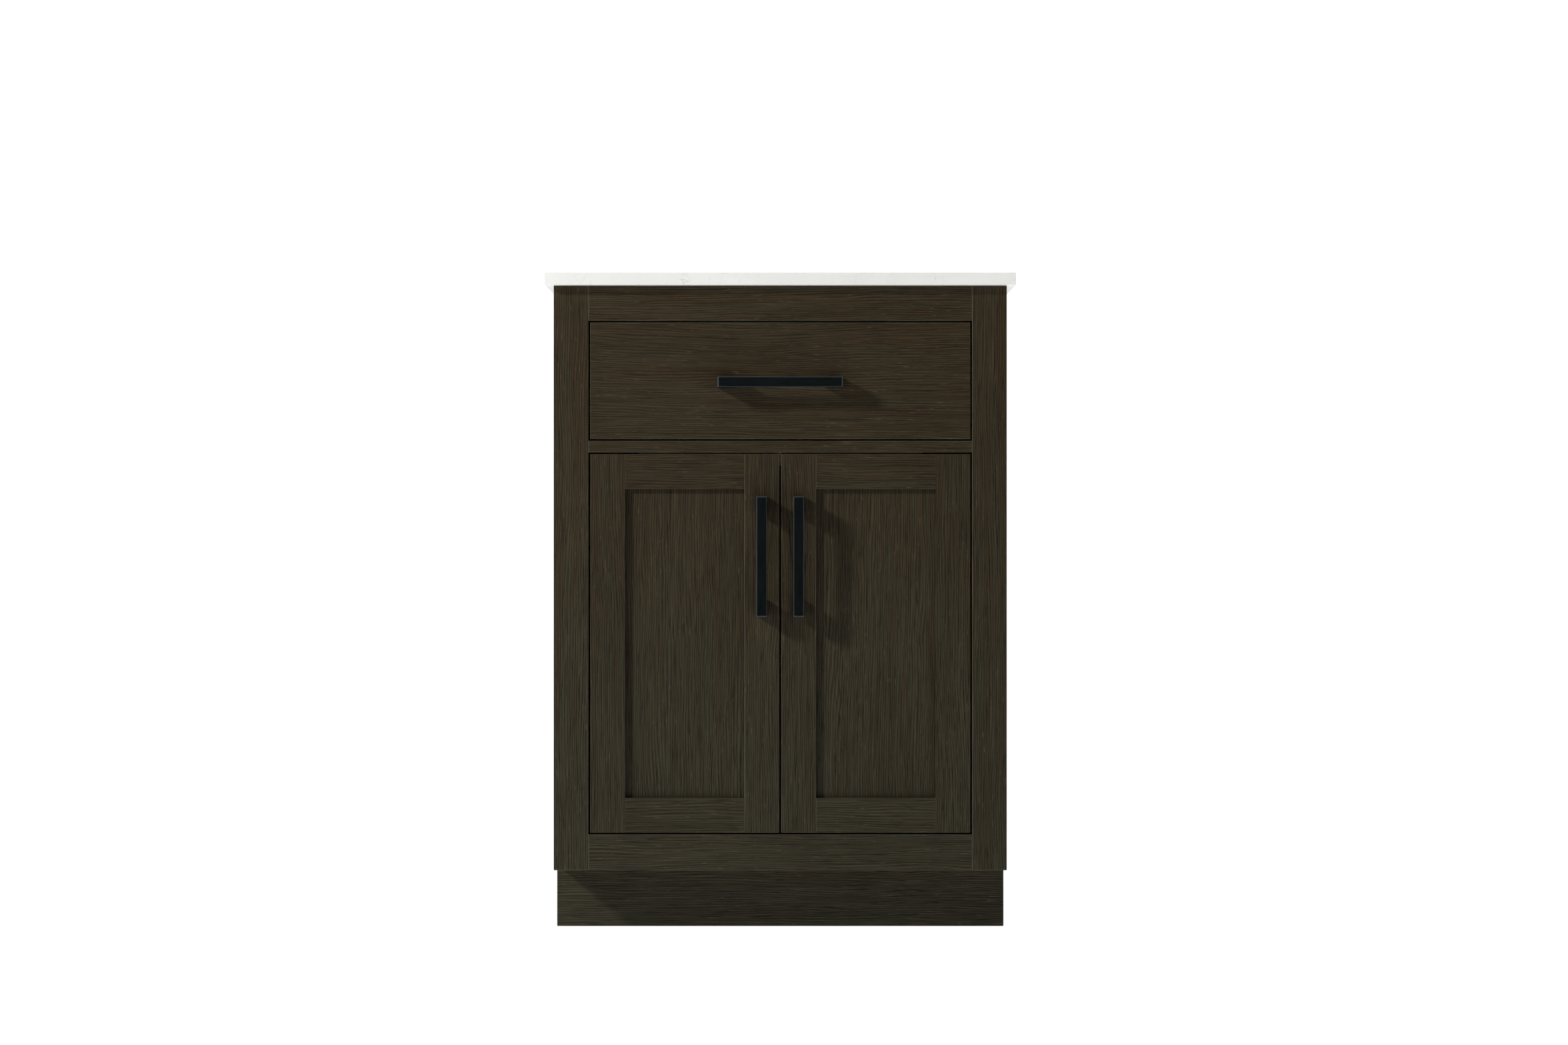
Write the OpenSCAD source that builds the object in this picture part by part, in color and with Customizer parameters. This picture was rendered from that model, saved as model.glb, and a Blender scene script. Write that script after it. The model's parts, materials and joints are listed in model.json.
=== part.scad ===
// Single bathroom vanity: a face-frame cabinet with one inset drawer, two inset
// frame-and-panel doors, a stone top and an undermount basin.
// Millimetres. +Z is up, the front faces -Y. The origin is on the floor, at the
// middle of the overall width and depth, pulls included.

/* [Top] */
// Width of the stone top
top_w = 609.6; // [600:0.1:620]
// Depth of the stone top
top_d = 558.8; // [550:0.1:580]
// Thickness of the stone top
top_t = 16; // [14:0.5:20]
// How far the top reaches past the face frame
front_overhang = 15; // [5:1:25]
// Width of the cut-out over the basin
cutout_w = 420; // [400:1:424]
// Depth of the cut-out over the basin
cutout_d = 290; // [270:1:294]
// Corner radius of the cut-out
cutout_r = 45; // [35:1:46]
// Diameter of the faucet hole
faucet_hole_d = 35; // [28:1:36]
// Distance from the basin's middle back to the faucet hole
faucet_setback = 226; // [215:1:250]

/* [Cabinet] */
// Width over the face frame
cabinet_w = 588; // [580:1:596]
// Height from the floor to the underside of the top
cabinet_h = 839; // [830:1:850]
// Thickness of the side and bottom panels
panel_t = 16; // [15:0.5:18]
// Height of the toe space
toe_h = 80.5; // [70:0.5:90]
// Depth of the toe space behind the face frame's front
toe_recess = 70; // [60:1:80]
// Thickness of the toe-kick board
toe_board_t = 15; // [12:1:18]
// Thickness of the back panel
back_t = 6; // [4:0.5:8]
// Height of the rail that is screwed to the wall
wall_rail_h = 100; // [90:1:104]
// Height of the shelf's underside
shelf_z = 340; // [300:1:380]
// Depth of the shelf, front to back
shelf_d = 254; // [200:1:300]

/* [Face frame] */
// Thickness of the face frame
frame_t = 19; // [19:0.5:21]
// Width of each frame stile
stile_w = 45.2; // [44:0.1:48]
// Height of the top rail
top_rail_h = 45.5; // [40:0.5:50]
// Height of the rail between drawer and doors
middle_rail_h = 15; // [13:0.5:18]
// Height of the bottom rail
bottom_rail_h = 46.5; // [40:0.5:50]
// Height of the drawer opening
drawer_opening_h = 155.7; // [152:0.1:160]

/* [Doors and drawer front] */
// Thickness of the doors and of the drawer front
front_t = 18; // [18:0.1:18.2]
// Gap round each door and round the drawer front
reveal = 2.2; // [2.2:0.1:2.6]
// Gap between the two doors
door_gap = 2.6; // [2:0.1:4]
// Width of the door stiles and rails
door_frame_w = 45.2; // [45:0.1:60]
// How far the door panel lies behind the door's face
panel_recess = 7; // [6:0.5:7.5]
// Thickness of the door panel
door_panel_t = 6; // [5:0.5:6.5]
// Depth of the groove that holds the door panel
groove_d = 6; // [5:0.5:6]

/* [Pulls] */
// Length of the drawer pull
drawer_pull_l = 161.5; // [120:0.5:200]
// Length of each door pull
door_pull_l = 155.5; // [120:0.5:200]
// Width of the pull bar, seen from the front
pull_w = 13.5; // [10:0.5:16]
// How far a pull stands out from the face
pull_reach = 33.5; // [28:0.5:36]
// Thickness of the grip, front to back
pull_bar_t = 5.5; // [4:0.5:8]
// Length of each leg, along the bar
pull_leg_l = 22; // [16:0.5:26]
// Height of the drawer pull's middle above the drawer front's lower edge
drawer_pull_rise = 73; // [60:1:90]
// Distance from a door's top edge down to its pull
door_pull_drop = 55; // [46:1:120]

/* [Drawer box] */
// Length of the drawer sides and slides
slide_l = 400; // [380:1:410]
// Height of the drawer box
box_h = 66; // [60:1:67]
// Height of the drawer box's lower edge above the drawer opening
box_rise = 12.2; // [10:0.1:13]
// Thickness of the drawer box's boards
box_t = 12; // [10:0.5:12]
// Thickness of the drawer bottom
box_bottom_t = 6; // [4:0.5:6]
// Clear width of the notch round the drain pipe
notch_w = 190; // [150:1:220]
// Distance from the face frame's front to the notch
notch_setback = 150; // [120:1:155]

/* [Basin] */
// Inside width of the bowl
bowl_w = 426; // [424:1:430]
// Inside depth of the bowl, front to back
bowl_d = 296; // [294:1:300]
// Depth of the bowl below the top's underside
bowl_h = 106; // [90:1:108]
// Thickness of the basin's walls and floor
bowl_t = 9; // [8:0.5:10]
// Inside corner radius of the bowl
bowl_r = 48; // [46:1:52]
// Radius between the bowl's walls and its floor
bowl_floor_r = 30; // [20:1:34]
// Distance from the top's front edge to the bowl
bowl_setback = 75; // [72:1:80]
// Diameter of the drain hole
drain_d = 45; // [40:1:50]
// Distance from the bowl's middle back to the drain
drain_shift = 20; // [0:1:40]

/* [Hidden] */
$fn = 96;
left = -1;
right = 1;
// Extra length that a cutting shape reaches past the face it cuts
past = 1;

// Main planes, left to right
half_w = cabinet_w / 2;
inner_x = half_w - panel_t;
opening_x = half_w - stile_w;

// Main planes, front to back
cabinet_d = top_d - front_overhang;
back_y = (cabinet_d + pull_reach) / 2;
face_y = back_y - cabinet_d;
frame_back_y = face_y + frame_t;
top_front_y = face_y - front_overhang;
toe_y = face_y + toe_recess;
toe_back_y = toe_y + toe_board_t;

// Main planes, bottom to top
floor_panel_top = toe_h + bottom_rail_h;
floor_panel_z = floor_panel_top - panel_t;
drawer_opening_top = cabinet_h - top_rail_h;
drawer_opening_z = drawer_opening_top - drawer_opening_h;
door_opening_top = drawer_opening_z - middle_rail_h;
wall_rail_z = cabinet_h - wall_rail_h;

// Cabinet details
rabbet = 6;
rabbet_play = 0.5;
corner_block = [60, 60, 18];
wall_hole_d = 7;
wall_hole_spread = 400;
block_d = 60;
spacer_l = 430;
spacer_z = 640;
spacer_h = 90;

// Shelf and its pins
shelf_gap = 1;
pin_d = 5;
pin_play = 0.05;
pin_reach = 8;
pin_depth = 10;
pin_collar_d = 8;
pin_inset = 37;
pin_pitch = 32;
pin_rows = [-2, -1, 0, 1, 2];
shelf_front_y = frame_back_y + block_d + 2;
shelf_back_y = shelf_front_y + shelf_d;

// Door stop
stop_rail_t = 16;
stop_rail_z = 606;
stop_rail_clear = 64;
bumper_d = 8;
bumper_depth = 7;
bumper_gap = 0.2;
bumper_drop = 8;
bumper_x = [-150, -20, 20, 150];

// Doors
door_z = floor_panel_top + reveal;
door_top = door_opening_top - reveal;
door_outer_x = opening_x - reveal;
door_inner_x = door_gap / 2;
panel_y = face_y + panel_recess;
panel_play = 1;
tenon_play = 0.5;

// Hinges: places are measured from the edge of the opening and from the face
hinge_height = 64;
hinge_z = [door_z + hinge_height, door_top - hinge_height];
cup_d = 35;
cup_wall = 1;
cup_floor_t = 0.8;
cup_depth = 12;
cup_play = 0.05;
cup_edge = 21.5;
cup_flange_t = 1;
cup_flange_d = 38;
cup_ear = [14, 58];
cup_screw_spread = 48;
screw_head_d = 7;
screw_head_t = 1.4;
hinge_screw_d = 3.5;
cup_screw_l = 9;
pivot_x = 28;
pivot_y = 9.7;
pivot_pin_d = 3;
pivot_pin_l = 31;
pivot_play = 0.05;
arm_eye_d = 5.2;
arm_t = 2.6;
arm_h = 11;
arm_angle = 48.5;
arm_r = 31;
arm_back_y = 74;
arm_overlap_angle = 2;
plate_t = 2.5;
plate_y = 40;
plate_h = 28;
plate_wing_y = [50, 64];
plate_wing_h = 54;
plate_screw_spread = 40;
plate_screw_l = 14;
arm_screw_d = 6.5;
arm_screw_t = 1.8;
arm_x = plate_t + arm_t / 2;
arm_bend_angle = 180 - acos((pivot_x - arm_x) / arm_r);

// Pulls
pull_end_chamfer = 1.5;
pull_side_chamfer = 0.8;
pull_fillet_r = 3;
pull_screw_d = 4;
pull_screw_play = 0.2;
pull_thread_depth = 12;
pull_screw_head_d = 8;
pull_screw_head_t = 2.4;
door_pull_x = door_inner_x + door_frame_w / 2;
door_pull_z = door_top - door_pull_drop - door_pull_l / 2;

// Drawer
drawer_z = drawer_opening_z + reveal;
drawer_top = drawer_opening_top - reveal;
drawer_half_w = opening_x - reveal;
drawer_pull_z = drawer_z + drawer_pull_rise;
slide_t = 12.7;
box_x = opening_x - slide_t;
box_inner_x = box_x - box_t;
box_y = face_y + front_t;
box_back_y = box_y + slide_l;
box_z = drawer_opening_z + box_rise;
box_top = box_z + box_h;
box_groove = 5;
box_groove_play = 0.5;
box_bottom_z = box_z + 8;
notch_x = notch_w / 2;
notch_y = face_y + notch_setback - box_t;

// Slides: depths are measured from the spacer towards the drawer
slide_z = box_z + box_h / 2;
slide_y = frame_back_y + 3;
sheet_t = 1.2;
outer_h = 45.5;
outer_reach = 10.5;
outer_lip = 2;
middle_back = 2.6;
middle_h = 34;
middle_reach = 10.8;
inner_h = 25;
inner_reach = 5;

// Basin
basin_y = top_front_y + bowl_setback + bowl_d / 2;
drain_y = basin_y + drain_shift;
faucet_y = basin_y + faucet_setback;
flange_w = 25;
flange_t = 12;
sealant = 4;
drain_dish_d = 150;
drain_dish_h = 3;
drain_dish_past = 0.01;
overflow = [30, 9, 6];
overflow_z = cabinet_h - 32;
overflow_boss = [56, 8, 34];
clip_y = [-80, 80];
clip = [34, 16, 3];
clip_grip = 12;
clip_foot = 6;
clip_stud_d = 6;
clip_stud_in = 8;
clip_nut_d = 13;
clip_nut_t = 6;
clip_stud_x = 14;

// A plain board between two opposite corners
module board(low, high) {
    translate(low) cube(high - low);
}

// Shapes are drawn for the left side and mirrored for the right
module on_side(side) {
    mirror([side > 0 ? 1 : 0, 0, 0]) children();
}

module rounded_rectangle(w, d, r) {
    square([w - 2 * r, d], center = true);
    square([w, d - 2 * r], center = true);
    for (x = [-1, 1])
        for (y = [-1, 1])
            translate([x * (w / 2 - r), y * (d / 2 - r)]) circle(r);
}

// A plate with round upright corners, its middle at the origin
module rounded_plate(w, d, h, r) {
    linear_extrude(h) rounded_rectangle(w, d, r);
}

// A section across a tub's edge: upright wall, round lower edge of radius r
module tub_section(reach, h, r) {
    square([reach - r, h]);
    translate([reach - r, r]) square([r, h - r]);
    intersection() {
        translate([reach - r, 0]) square(r);
        translate([reach - r, r]) circle(r);
    }
}

// A solid tub that stands on z = 0, round at its upright corners and lower edges:
// a block in the middle, four straight edges and four corners, set face to face
module rounded_tub(w, d, h, r, floor_r) {
    straight_w = w - 2 * r;
    straight_d = d - 2 * r;
    translate([-straight_w / 2, -straight_d / 2, 0]) cube([straight_w, straight_d, h]);
    for (turn = [0, 180])
        rotate([90, 0, turn])
            translate([straight_w / 2, 0, -straight_d / 2])
                linear_extrude(straight_d) tub_section(r, h, floor_r);
    for (turn = [90, 270])
        rotate([90, 0, turn])
            translate([straight_d / 2, 0, -straight_w / 2])
                linear_extrude(straight_w) tub_section(r, h, floor_r);
    for (corner = [[1, 1, 0], [-1, 1, 90], [-1, -1, 180], [1, -1, 270]])
        translate([corner[0] * straight_w / 2, corner[1] * straight_d / 2, 0])
            rotate(corner[2])
                rotate_extrude(angle = 90)
                    tub_section(r, h, floor_r);
}

// A round rod along Y from y0 to y1
module rod_y(d, x, y0, y1, z) {
    translate([x, y0, z]) rotate([-90, 0, 0]) cylinder(d = d, h = y1 - y0);
}

// A round rod along X from x0 to x1
module rod_x(d, x0, x1, y, z) {
    translate([x0, y, z]) rotate([0, 90, 0]) cylinder(d = d, h = x1 - x0);
}

// ---- Cabinet ----

module side_panel(side) {
    color("saddlebrown")
    on_side(side)
    difference() {
        board([-half_w, frame_back_y, 0], [-inner_x, back_y, cabinet_h]);
        board([-half_w - past, frame_back_y - past, -past], [-inner_x + past, toe_back_y, toe_h]);
        board([-inner_x - rabbet, back_y - back_t, floor_panel_z],
              [-inner_x + past, back_y + past, wall_rail_z]);
        for (row = pin_rows)
            for (y = [shelf_front_y + pin_inset, shelf_back_y - pin_inset])
                rod_x(pin_d, -inner_x - pin_depth, -inner_x + past, y, shelf_pin_z(row));
    }
}

function shelf_pin_z(row) = shelf_z - pin_d / 2 + pin_play + row * pin_pitch;

module bottom_panel() {
    color("burlywood")
    board([-inner_x, frame_back_y, floor_panel_z], [inner_x, back_y - back_t, floor_panel_top]);
}

// A whole panel: the pipe holes are drilled where the wall's own pipes are
module back_panel() {
    reach = inner_x + rabbet - rabbet_play;
    color("burlywood")
    board([-reach, back_y - back_t, floor_panel_z], [reach, back_y, wall_rail_z]);
}

module wall_rail() {
    color("burlywood")
    difference() {
        board([-inner_x, back_y - panel_t, wall_rail_z], [inner_x, back_y, cabinet_h]);
        for (x = [-1, 1])
            rod_y(wall_hole_d, x * wall_hole_spread / 2, back_y - panel_t - past, back_y + past,
                  wall_rail_z + wall_rail_h / 2);
    }
}

module toe_kick_board() {
    color("saddlebrown")
    board([-half_w, toe_y, 0], [half_w, toe_back_y, toe_h]);
}

module toe_kick_support() {
    color("burlywood")
    board([-inner_x, toe_back_y, 0], [inner_x, toe_back_y + panel_t, floor_panel_z]);
}

module corner_blocks() {
    color("burlywood")
    for (side = [left, right])
        on_side(side)
            for (end = [[frame_back_y, 1], [back_y - panel_t, -1]])
                translate([-inner_x, end[0], cabinet_h - corner_block[2]])
                    linear_extrude(corner_block[2])
                        polygon([[0, 0], [corner_block[0], 0], [0, end[1] * corner_block[1]]]);
}

module hinge_block(side) {
    color("burlywood")
    on_side(side)
    difference() {
        board([-inner_x, frame_back_y, floor_panel_top],
              [-opening_x, frame_back_y + block_d, spacer_z]);
        for (z = hinge_z)
            for (turn = [-1, 1])
                rod_x(hinge_screw_d, -opening_x - plate_screw_l, -opening_x + past,
                      face_y + (plate_wing_y[0] + plate_wing_y[1]) / 2,
                      z + turn * plate_screw_spread / 2);
    }
}

module slide_spacer(side) {
    color("burlywood")
    on_side(side)
    board([-inner_x, frame_back_y, spacer_z],
          [-opening_x, frame_back_y + spacer_l, spacer_z + spacer_h]);
}

module door_stop_rail() {
    reach = opening_x - stop_rail_clear;
    color("burlywood")
    difference() {
        board([-reach, frame_back_y, stop_rail_z],
              [reach, frame_back_y + stop_rail_t, drawer_opening_z]);
        for (x = bumper_x)
            rod_y(bumper_d, x, frame_back_y - past, frame_back_y + bumper_depth,
                  door_top - bumper_drop);
    }
}

module door_bumpers() {
    color("dimgray")
    for (x = bumper_x)
        rod_y(bumper_d, x, face_y + front_t + bumper_gap, frame_back_y + bumper_depth,
              door_top - bumper_drop);
}

module shelf() {
    color("burlywood")
    board([-inner_x + shelf_gap, shelf_front_y, shelf_z],
          [inner_x - shelf_gap, shelf_back_y, shelf_z + panel_t]);
}

module shelf_pins() {
    color("silver")
    for (side = [left, right])
        on_side(side)
            for (y = [shelf_front_y + pin_inset, shelf_back_y - pin_inset]) {
                rod_x(pin_d - 2 * pin_play, -inner_x - pin_depth, -inner_x + pin_reach,
                      y, shelf_pin_z(0));
                rod_x(pin_collar_d, -inner_x, -inner_x + shelf_gap, y, shelf_pin_z(0));
            }
}

// ---- Face frame ----

module frame_stile(side) {
    color("saddlebrown")
    on_side(side)
    board([-half_w, face_y, toe_h], [-opening_x, frame_back_y, cabinet_h]);
}

module frame_rail(z0, z1) {
    color("saddlebrown")
    board([-opening_x, face_y, z0], [opening_x, frame_back_y, z1]);
}

// ---- Top and basin ----

module countertop() {
    color("whitesmoke")
    difference() {
        board([-top_w / 2, top_front_y, cabinet_h], [top_w / 2, back_y, cabinet_h + top_t]);
        translate([0, basin_y, cabinet_h - past])
            rounded_plate(cutout_w, cutout_d, top_t + 2 * past, cutout_r);
        translate([0, faucet_y, cabinet_h - past])
            cylinder(d = faucet_hole_d, h = top_t + 2 * past);
        at_clips()
            translate([clip_stud_x, 0, cabinet_h - past])
                cylinder(d = clip_stud_d, h = clip_stud_in + past);
    }
}

// The four places along the basin's left and right edges where a clip sits
module at_clips() {
    for (side = [left, right])
        for (y = clip_y)
            translate([side * (bowl_w / 2 + flange_w), basin_y + y, 0])
                mirror([side < 0 ? 1 : 0, 0, 0])
                    children();
}

module basin() {
    outer_w = bowl_w + 2 * bowl_t;
    outer_d = bowl_d + 2 * bowl_t;
    bowl_z = cabinet_h - bowl_h;
    color("white")
    difference() {
        union() {
            translate([0, basin_y, bowl_z - bowl_t])
                rounded_tub(outer_w, outer_d, bowl_h + bowl_t, bowl_r + bowl_t,
                            bowl_floor_r + bowl_t);
            translate([0, basin_y, cabinet_h - flange_t])
                rounded_plate(bowl_w + 2 * flange_w, bowl_d + 2 * flange_w, flange_t,
                              bowl_r + flange_w);
            translate([-overflow_boss[0] / 2, basin_y - outer_d / 2 - overflow_boss[1],
                       overflow_z - overflow_boss[2] / 2])
                cube([overflow_boss[0], overflow_boss[1] + bowl_t / 2, overflow_boss[2]]);
        }
        translate([0, basin_y, bowl_z])
            rounded_tub(bowl_w, bowl_d, bowl_h + past, bowl_r, bowl_floor_r);
        translate([0, drain_y, bowl_z - drain_dish_h])
            cylinder(d1 = drain_d, d2 = drain_dish_d, h = drain_dish_h + drain_dish_past);
        translate([0, drain_y, bowl_z - bowl_t - past])
            cylinder(d = drain_d, h = bowl_t + 2 * past);
        overflow_slot();
    }
}

// A slot with round ends, sunk into the bowl's front wall
module overflow_slot() {
    wall_y = basin_y - bowl_d / 2;
    reach = (overflow[0] - overflow[1]) / 2;
    depth = bowl_t + overflow[2] / 2;
    board([-reach, wall_y - depth, overflow_z - overflow[1] / 2],
          [reach, wall_y + past, overflow_z + overflow[1] / 2]);
    for (x = [-reach, reach])
        rod_y(overflow[1], x, wall_y - depth, wall_y + past, overflow_z);
}

module basin_sealant() {
    w = bowl_w + 2 * flange_w;
    d = bowl_d + 2 * flange_w;
    r = bowl_r + flange_w;
    color("gainsboro")
    translate([0, basin_y, cabinet_h - sealant])
    difference() {
        rounded_plate(w + 2 * sealant, d + 2 * sealant, sealant, r + sealant);
        translate([0, 0, -past])
            rounded_plate(w, d, sealant + 2 * past, r);
    }
}

module basin_clips() {
    plate_z = cabinet_h - flange_t - clip[2];
    color("silver")
    at_clips() {
        translate([-clip_grip, -clip[1] / 2, plate_z]) cube(clip);
        translate([clip[0] - clip_grip - clip_foot, -clip[1] / 2, plate_z])
            cube([clip_foot, clip[1], flange_t + clip[2]]);
        translate([clip_stud_x, 0, plate_z - clip_nut_t])
            cylinder(d = clip_stud_d, h = clip_nut_t + clip[2] + flange_t + clip_stud_in);
        translate([clip_stud_x, 0, plate_z - clip_nut_t])
            cylinder(d = clip_nut_d, h = clip_nut_t, $fn = 6);
    }
}

// ---- Hinges ----
// Places are measured from the edge of the opening and from the face

module at_hinges(side) {
    on_side(side)
        for (z = hinge_z)
            translate([-opening_x, face_y, z])
                children();
}

module hinge_plates(side) {
    wing_y = (plate_wing_y[0] + plate_wing_y[1]) / 2;
    color("silver")
    at_hinges(side) {
        board([0, plate_y, -plate_h / 2], [plate_t, arm_back_y, plate_h / 2]);
        board([0, plate_wing_y[0], -plate_wing_h / 2], [plate_t, plate_wing_y[1], plate_wing_h / 2]);
        for (turn = [-1, 1]) {
            rod_x(hinge_screw_d, -plate_screw_l, plate_t, wing_y, turn * plate_screw_spread / 2);
            rod_x(screw_head_d, plate_t, plate_t + screw_head_t, wing_y,
                  turn * plate_screw_spread / 2);
        }
    }
}

function polar(r, angle) = [r * cos(angle), r * sin(angle)];

// The wedge of the plane between two angles, out to at least a given reach
module wedge(a0, a1, reach) {
    middle = (a0 + a1) / 2;
    far = reach / cos((a1 - a0) / 4);
    polygon([[0, 0], polar(far, a0), polar(far, middle), polar(far, a1)]);
}

// The arm's outline, seen from above, with the pivot at the origin
module arm_outline() {
    difference() {
        union() {
            circle(d = arm_eye_d);
            rotate(arm_angle) translate([0, -arm_t / 2]) square([arm_r, arm_t]);
            intersection() {
                difference() {
                    circle(arm_r + arm_t / 2);
                    circle(arm_r - arm_t / 2);
                }
                wedge(arm_angle - arm_overlap_angle, arm_bend_angle, 2 * arm_r);
            }
            translate([-pivot_x + plate_t, arm_r * sin(arm_bend_angle) - arm_t / 2])
                square([arm_t, arm_back_y - pivot_y - arm_r * sin(arm_bend_angle) + arm_t / 2]);
        }
        circle(d = pivot_pin_d + 2 * pivot_play);
    }
}

module hinge_arms(side) {
    color("silver")
    at_hinges(side) {
        translate([pivot_x, pivot_y, -arm_h / 2]) linear_extrude(arm_h) arm_outline();
        rod_x(arm_screw_d, plate_t + arm_t, plate_t + arm_t + arm_screw_t,
              arm_back_y - arm_screw_d, 0);
    }
}

module hinge_cups(side) {
    cup_x = reveal + cup_edge;
    floor_y = front_t - cup_depth;
    color("silver")
    at_hinges(side) {
        difference() {
            union() {
                rod_y(cup_d - 2 * cup_play, cup_x, floor_y, front_t, 0);
                rod_y(cup_flange_d, cup_x, front_t, front_t + cup_flange_t, 0);
                board([cup_x - cup_ear[0] / 2, front_t, -cup_ear[1] / 2],
                      [cup_x + cup_ear[0] / 2, front_t + cup_flange_t, cup_ear[1] / 2]);
            }
            rod_y(cup_d - 2 * cup_wall, cup_x, floor_y + cup_floor_t,
                  front_t + cup_flange_t + past, 0);
        }
        translate([pivot_x, pivot_y, 0])
            cylinder(d = pivot_pin_d, h = pivot_pin_l, center = true);
        for (turn = [-1, 1]) {
            rod_y(hinge_screw_d, cup_x, front_t - cup_screw_l, front_t + cup_flange_t,
                  turn * cup_screw_spread / 2);
            rod_y(screw_head_d, cup_x, front_t + cup_flange_t,
                  front_t + cup_flange_t + screw_head_t, turn * cup_screw_spread / 2);
        }
    }
}

// ---- Doors ----

module door_stile_groove(x0, x1) {
    board([x0, panel_y, door_z - past], [x1, panel_y + door_panel_t, door_top + past]);
}

module door_hinge_stile(side) {
    inner = -door_outer_x + door_frame_w;
    color("saddlebrown")
    on_side(side)
    difference() {
        board([-door_outer_x, face_y, door_z], [inner, face_y + front_t, door_top]);
        door_stile_groove(inner - groove_d, inner + past);
        for (z = hinge_z) {
            rod_y(cup_d, -door_outer_x + cup_edge, face_y + front_t - cup_depth,
                  face_y + front_t + past, z);
            for (turn = [-1, 1])
                rod_y(hinge_screw_d, -door_outer_x + cup_edge, face_y + front_t - cup_screw_l,
                      face_y + front_t + past, z + turn * cup_screw_spread / 2);
        }
    }
}

module door_pull_stile(side) {
    outer = -door_inner_x - door_frame_w;
    color("saddlebrown")
    on_side(side)
    difference() {
        board([outer, face_y, door_z], [-door_inner_x, face_y + front_t, door_top]);
        door_stile_groove(outer - past, outer + groove_d);
        for (end = [-1, 1])
            rod_y(pull_screw_d + 2 * pull_screw_play, -door_pull_x, face_y - past,
                  face_y + front_t + past, door_pull_z + end * (door_pull_l - pull_leg_l) / 2);
    }
}

// A door rail with its tenons: edge_z is the edge that holds the panel
module door_rail(side, z0, z1, edge_z) {
    x0 = -door_outer_x + door_frame_w;
    x1 = -door_inner_x - door_frame_w;
    tenon = groove_d - tenon_play;
    color("saddlebrown")
    on_side(side)
    difference() {
        union() {
            board([x0, face_y, z0], [x1, face_y + front_t, z1]);
            board([x0 - tenon, panel_y, z0], [x1 + tenon, panel_y + door_panel_t, z1]);
        }
        board([x0 - tenon - past, panel_y, edge_z - groove_d],
              [x1 + tenon + past, panel_y + door_panel_t, edge_z + groove_d]);
    }
}

module door_panel(side) {
    reach = door_frame_w - groove_d + panel_play;
    color("saddlebrown")
    on_side(side)
    board([-door_outer_x + reach, panel_y, door_z + reach],
          [-door_inner_x - reach, panel_y + door_panel_t, door_top - reach]);
}

// ---- Pulls ----

// The pull seen across its width: a flat bar on two square legs
module pull_profile(length) {
    gap = length / 2 - pull_leg_l;
    back = pull_reach - pull_bar_t;
    difference() {
        polygon([[-length / 2, 0], [-length / 2, -pull_reach + pull_end_chamfer],
                 [-length / 2 + pull_end_chamfer, -pull_reach],
                 [length / 2 - pull_end_chamfer, -pull_reach],
                 [length / 2, -pull_reach + pull_end_chamfer], [length / 2, 0]]);
        translate([-gap, -back + pull_fillet_r]) square([2 * gap, back - pull_fillet_r + past]);
        translate([-gap + pull_fillet_r, -back]) square([2 * (gap - pull_fillet_r), back]);
        for (x = [-1, 1])
            translate([x * (gap - pull_fillet_r), -back + pull_fillet_r]) circle(pull_fillet_r);
    }
}

// The pull seen from its end, with its long front edges chamfered
module pull_end_outline() {
    polygon([[0, -pull_w / 2], [0, pull_w / 2], [-pull_reach + pull_side_chamfer, pull_w / 2],
             [-pull_reach, pull_w / 2 - pull_side_chamfer],
             [-pull_reach, -pull_w / 2 + pull_side_chamfer],
             [-pull_reach + pull_side_chamfer, -pull_w / 2]]);
}

// A pull along X with its back on y = 0
module pull(length) {
    color("black")
    difference() {
        intersection() {
            translate([0, 0, -pull_w / 2]) linear_extrude(pull_w) pull_profile(length);
            translate([-length / 2 - past, 0, 0])
                rotate([90, 0, 90]) linear_extrude(length + 2 * past) pull_end_outline();
        }
        for (end = [-1, 1])
            rod_y(pull_screw_d, end * (length - pull_leg_l) / 2, -pull_thread_depth, past, 0);
    }
}

module pull_screws(length) {
    color("silver")
    for (end = [-1, 1]) {
        rod_y(pull_screw_d, end * (length - pull_leg_l) / 2, -pull_thread_depth + past,
              front_t, 0);
        rod_y(pull_screw_head_d, end * (length - pull_leg_l) / 2, front_t,
              front_t + pull_screw_head_t, 0);
    }
}

module at_drawer_pull() {
    translate([0, face_y, drawer_pull_z]) children();
}

module at_door_pull(side) {
    translate([side * door_pull_x, face_y, door_pull_z]) rotate([0, 90, 0]) children();
}

// ---- Drawer ----

// The slot that the drawer bottom sits in, cut across the given stretch
module bottom_groove(low_x, low_y, high_x, high_y) {
    board([low_x, low_y, box_bottom_z], [high_x, high_y, box_bottom_z + box_bottom_t]);
}

module drawer_front() {
    groove_x = box_inner_x + box_groove;
    color("saddlebrown")
    difference() {
        board([-drawer_half_w, face_y, drawer_z], [drawer_half_w, box_y, drawer_top]);
        bottom_groove(-groove_x, box_y - box_groove, groove_x, box_y + past);
        for (end = [-1, 1])
            rod_y(pull_screw_d + 2 * pull_screw_play, end * (drawer_pull_l - pull_leg_l) / 2,
                  face_y - past, box_y + past, drawer_pull_z);
    }
}

module drawer_side(side) {
    color("burlywood")
    on_side(side)
    difference() {
        board([-box_x, box_y, box_z], [-box_inner_x, box_back_y, box_top]);
        bottom_groove(-box_inner_x - box_groove, box_y - past, -box_inner_x + past,
                      box_back_y - box_t + box_groove);
    }
}

module drawer_back_pieces() {
    color("burlywood")
    for (side = [left, right])
        on_side(side)
            difference() {
                board([-box_inner_x, box_back_y - box_t, box_z],
                      [-notch_x - box_t, box_back_y, box_top]);
                bottom_groove(-box_inner_x - past, box_back_y - box_t - past,
                              -notch_x, box_back_y - box_t + box_groove);
            }
}

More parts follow.
